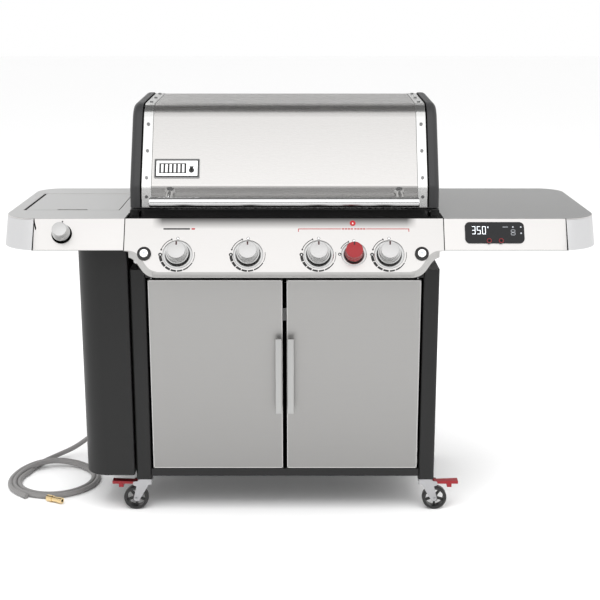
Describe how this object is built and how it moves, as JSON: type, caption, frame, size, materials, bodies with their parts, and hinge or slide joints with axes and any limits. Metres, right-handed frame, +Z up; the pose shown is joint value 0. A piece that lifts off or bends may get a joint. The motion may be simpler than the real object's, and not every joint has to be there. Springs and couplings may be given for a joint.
{
  "type": "gas barbecue grill",
  "caption": "Free-standing gas barbecue on a closed cart with hinged lid, two side tables, side burner, swivel casters and a coiled gas hose.",
  "frame": {"origin": "on the floor under the middle of the grill, the hose left out", "axes": "+X to the right across the tables, +Y to the back, +Z up"},
  "size_m": [1.842, 0.6976, 1.2524],
  "materials": {
    "badge_plate": "polished frame",
    "brake_red": "satin",
    "brass": "satin",
    "burner_black": "matte",
    "button_silver": "satin",
    "cap_grey": "satin",
    "cart_black": "satin powder coat",
    "cast_silver": "satin silver",
    "caster_zinc": "zinc plated",
    "chrome": "polished",
    "cookbox_black": "satin enamel",
    "display_black": "gloss",
    "door_steel": "brushed",
    "grate_iron": "enamelled",
    "handle_grey": "satin",
    "hose_rubber": "matte",
    "inner_steel": "satin",
    "knob_grey": "satin",
    "knob_red": "gloss",
    "lid_steel": "brushed",
    "manifold_aluminium": "satin",
    "panel_steel": "brushed",
    "screen_black": "satin",
    "screw_steel": "polished",
    "table_steel": "brushed",
    "tray_aluminium": "satin",
    "trim_steel": "polished",
    "wheel_black": "satin"
  },
  "bodies": {
    "cart": {"bottom_shelf": "cart_black", "burner_tubes": "inner_steel", "cabinet_panels": "cart_black", "control_panel": "panel_steel", "cookbox": "cookbox_black", "cooking_grates": "grate_iron", "display_housing": "display_black", "frame_legs": "cart_black", "frame_rails": "cart_black", "gas_hose": "hose_rubber", "gas_hose_coil": "hose_rubber", "gas_manifold": "manifold_aluminium", "grease_tray": "tray_aluminium", "heat_plates": "inner_steel", "hinge_pins": "screw_steel", "hose_fitting": "brass", "left_table_panel": "table_steel", "panel_bezels": "chrome", "right_table_panel": "table_steel", "side_burner": "burner_black", "table_brackets": "cart_black", "table_end_caps": "cast_silver", "tank_screen": "screen_black"},
    "lid": {"lid_skin": "lid_steel", "lid_end_caps": "cap_grey", "lid_trims": "trim_steel", "lid_screws": "screw_steel", "lid_handle": "chrome", "badge_plate": "badge_plate"},
    "left_door": {"left_door": "door_steel", "left_door_handle": "handle_grey"},
    "right_door": {"right_door": "door_steel", "right_door_handle": "handle_grey"},
    "side_burner_lid": {"side_burner_lid": "table_steel"},
    "drip_pan": {"drip_pan": "tray_aluminium"},
    "warming_rack": {"warming_rack": "inner_steel"},
    "burner_stem_1": {"burner_stem_1": "brass"},
    "burner_knob_1": {"burner_knob_1": "knob_grey"},
    "burner_stem_2": {"burner_stem_2": "brass"},
    "burner_knob_2": {"burner_knob_2": "knob_grey"},
    "burner_stem_3": {"burner_stem_3": "brass"},
    "burner_knob_3": {"burner_knob_3": "knob_grey"},
    "burner_stem_4": {"burner_stem_4": "brass"},
    "burner_knob_4": {"burner_knob_4": "knob_grey"},
    "sear_stem": {"sear_stem": "brass"},
    "sear_knob": {"sear_knob": "knob_red"},
    "side_burner_stem": {"side_burner_stem": "brass"},
    "side_burner_knob": {"side_burner_knob": "knob_grey"},
    "ignition_button": {"ignition_button": "button_silver"},
    "light_button": {"light_button": "button_silver"},
    "caster_front_left": {"caster_fork_front_left": "caster_zinc"},
    "wheel_front_left": {"caster_wheel_front_left": "wheel_black"},
    "brake_left": {"brake_lever_left": "brake_red"},
    "caster_rear_left": {"caster_fork_rear_left": "caster_zinc"},
    "wheel_rear_left": {"caster_wheel_rear_left": "wheel_black"},
    "caster_front_right": {"caster_fork_front_right": "caster_zinc"},
    "wheel_front_right": {"caster_wheel_front_right": "wheel_black"},
    "brake_right": {"brake_lever_right": "brake_red"},
    "caster_rear_right": {"caster_fork_rear_right": "caster_zinc"},
    "wheel_rear_right": {"caster_wheel_rear_right": "wheel_black"}
  },
  "joints": [
    {"name": "lid_hinge", "type": "hinge", "parent": "cart", "child": "lid", "pos_m": [-0.046, 0.3166, 0.962], "axis": [-1, 0, 0], "range_deg": [0, 75]},
    {"name": "left_door_hinge", "type": "hinge", "parent": "cart", "child": "left_door", "pos_m": [-0.442, -0.2174, 0.45], "axis": [0, 0, -1], "range_deg": [0, 100]},
    {"name": "right_door_hinge", "type": "hinge", "parent": "cart", "child": "right_door", "pos_m": [0.35, -0.2174, 0.45], "axis": [0, 0, 1], "range_deg": [0, 100]},
    {"name": "side_burner_lid_hinge", "type": "hinge", "parent": "cart", "child": "side_burner_lid", "pos_m": [-0.688, 0.2046, 0.925], "axis": [-1, 0, 0], "range_deg": [0, 95]},
    {"name": "burner_knob_1_turn", "type": "hinge", "parent": "burner_stem_1", "child": "burner_knob_1", "pos_m": [-0.35325, -0.31868, 0.84687], "axis": [0, -0.8572, 0.515], "range_deg": [0, 240]},
    {"name": "burner_knob_2_turn", "type": "hinge", "parent": "burner_stem_2", "child": "burner_knob_2", "pos_m": [-0.14975, -0.31868, 0.84687], "axis": [0, -0.8572, 0.515], "range_deg": [0, 240]},
    {"name": "burner_knob_3_turn", "type": "hinge", "parent": "burner_stem_3", "child": "burner_knob_3", "pos_m": [0.05375, -0.31868, 0.84687], "axis": [0, -0.8572, 0.515], "range_deg": [0, 240]},
    {"name": "burner_knob_4_turn", "type": "hinge", "parent": "burner_stem_4", "child": "burner_knob_4", "pos_m": [0.25725, -0.31868, 0.84687], "axis": [0, -0.8572, 0.515], "range_deg": [0, 240]},
    {"name": "sear_knob_turn", "type": "hinge", "parent": "sear_stem", "child": "sear_knob", "pos_m": [0.1555, -0.31868, 0.84687], "axis": [0, -0.8572, 0.515], "range_deg": [0, 240]},
    {"name": "side_burner_knob_turn", "type": "hinge", "parent": "side_burner_stem", "child": "side_burner_knob", "pos_m": [-0.69, -0.28649, 0.90044], "axis": [0, -0.8572, 0.515], "range_deg": [0, 240]},
    {"name": "burner_knob_1_push", "type": "slide", "parent": "cart", "child": "burner_stem_1", "axis": [0, 0.8572, -0.515], "range_m": [0, 0.003], "stiffness_N_per_m": 1500, "springref_m": -0.002},
    {"name": "burner_knob_2_push", "type": "slide", "parent": "cart", "child": "burner_stem_2", "axis": [0, 0.8572, -0.515], "range_m": [0, 0.003], "stiffness_N_per_m": 1500, "springref_m": -0.002},
    {"name": "burner_knob_3_push", "type": "slide", "parent": "cart", "child": "burner_stem_3", "axis": [0, 0.8572, -0.515], "range_m": [0, 0.003], "stiffness_N_per_m": 1500, "springref_m": -0.002},
    {"name": "burner_knob_4_push", "type": "slide", "parent": "cart", "child": "burner_stem_4", "axis": [0, 0.8572, -0.515], "range_m": [0, 0.003], "stiffness_N_per_m": 1500, "springref_m": -0.002},
    {"name": "sear_knob_push", "type": "slide", "parent": "cart", "child": "sear_stem", "axis": [0, 0.8572, -0.515], "range_m": [0, 0.003], "stiffness_N_per_m": 1500, "springref_m": -0.002},
    {"name": "side_burner_knob_push", "type": "slide", "parent": "cart", "child": "side_burner_stem", "axis": [0, 0.8572, -0.515], "range_m": [0, 0.003], "stiffness_N_per_m": 1500, "springref_m": -0.002},
    {"name": "ignition_button_press", "type": "slide", "parent": "cart", "child": "ignition_button", "axis": [0, 0.8572, -0.515], "range_m": [0, 0.003], "stiffness_N_per_m": 600, "springref_m": -0.002},
    {"name": "light_button_press", "type": "slide", "parent": "cart", "child": "light_button", "axis": [0, 0.8572, -0.515], "range_m": [0, 0.003], "stiffness_N_per_m": 600, "springref_m": -0.002},
    {"name": "drip_pan_slide", "type": "slide", "parent": "cart", "child": "drip_pan", "axis": [0, -1, 0], "range_m": [0, 0.07]},
    {"name": "warming_rack_fold", "type": "hinge", "parent": "cart", "child": "warming_rack", "pos_m": [-0.046, 0.2676, 1.012], "axis": [-1, 0, 0], "range_deg": [0, 70]},
    {"name": "caster_front_left_swivel", "type": "hinge", "parent": "cart", "child": "caster_front_left", "pos_m": [-0.482, -0.1974, 0.104], "axis": [0, 0, 1], "continuous": true},
    {"name": "wheel_front_left_roll", "type": "hinge", "parent": "caster_front_left", "child": "wheel_front_left", "pos_m": [-0.512, -0.1974, 0.038], "axis": [0, 1, 0], "continuous": true},
    {"name": "brake_left_press", "type": "hinge", "parent": "caster_front_left", "child": "brake_left", "pos_m": [-0.512, -0.1974, 0.089], "axis": [0, -1, 0], "range_deg": [0, 12]},
    {"name": "caster_rear_left_swivel", "type": "hinge", "parent": "cart", "child": "caster_rear_left", "pos_m": [-0.482, 0.2346, 0.104], "axis": [0, 0, 1], "continuous": true},
    {"name": "wheel_rear_left_roll", "type": "hinge", "parent": "caster_rear_left", "child": "wheel_rear_left", "pos_m": [-0.512, 0.2346, 0.038], "axis": [0, 1, 0], "continuous": true},
    {"name": "caster_front_right_swivel", "type": "hinge", "parent": "cart", "child": "caster_front_right", "pos_m": [0.39, -0.1974, 0.104], "axis": [0, 0, 1], "continuous": true},
    {"name": "wheel_front_right_roll", "type": "hinge", "parent": "caster_front_right", "child": "wheel_front_right", "pos_m": [0.42, -0.1974, 0.038], "axis": [0, 1, 0], "continuous": true},
    {"name": "brake_right_press", "type": "hinge", "parent": "caster_front_right", "child": "brake_right", "pos_m": [0.42, -0.1974, 0.089], "axis": [0, 1, 0], "range_deg": [0, 12]},
    {"name": "caster_rear_right_swivel", "type": "hinge", "parent": "cart", "child": "caster_rear_right", "pos_m": [0.39, 0.2346, 0.104], "axis": [0, 0, 1], "continuous": true},
    {"name": "wheel_rear_right_roll", "type": "hinge", "parent": "caster_rear_right", "child": "wheel_rear_right", "pos_m": [0.42, 0.2346, 0.038], "axis": [0, 1, 0], "continuous": true}
  ]
}
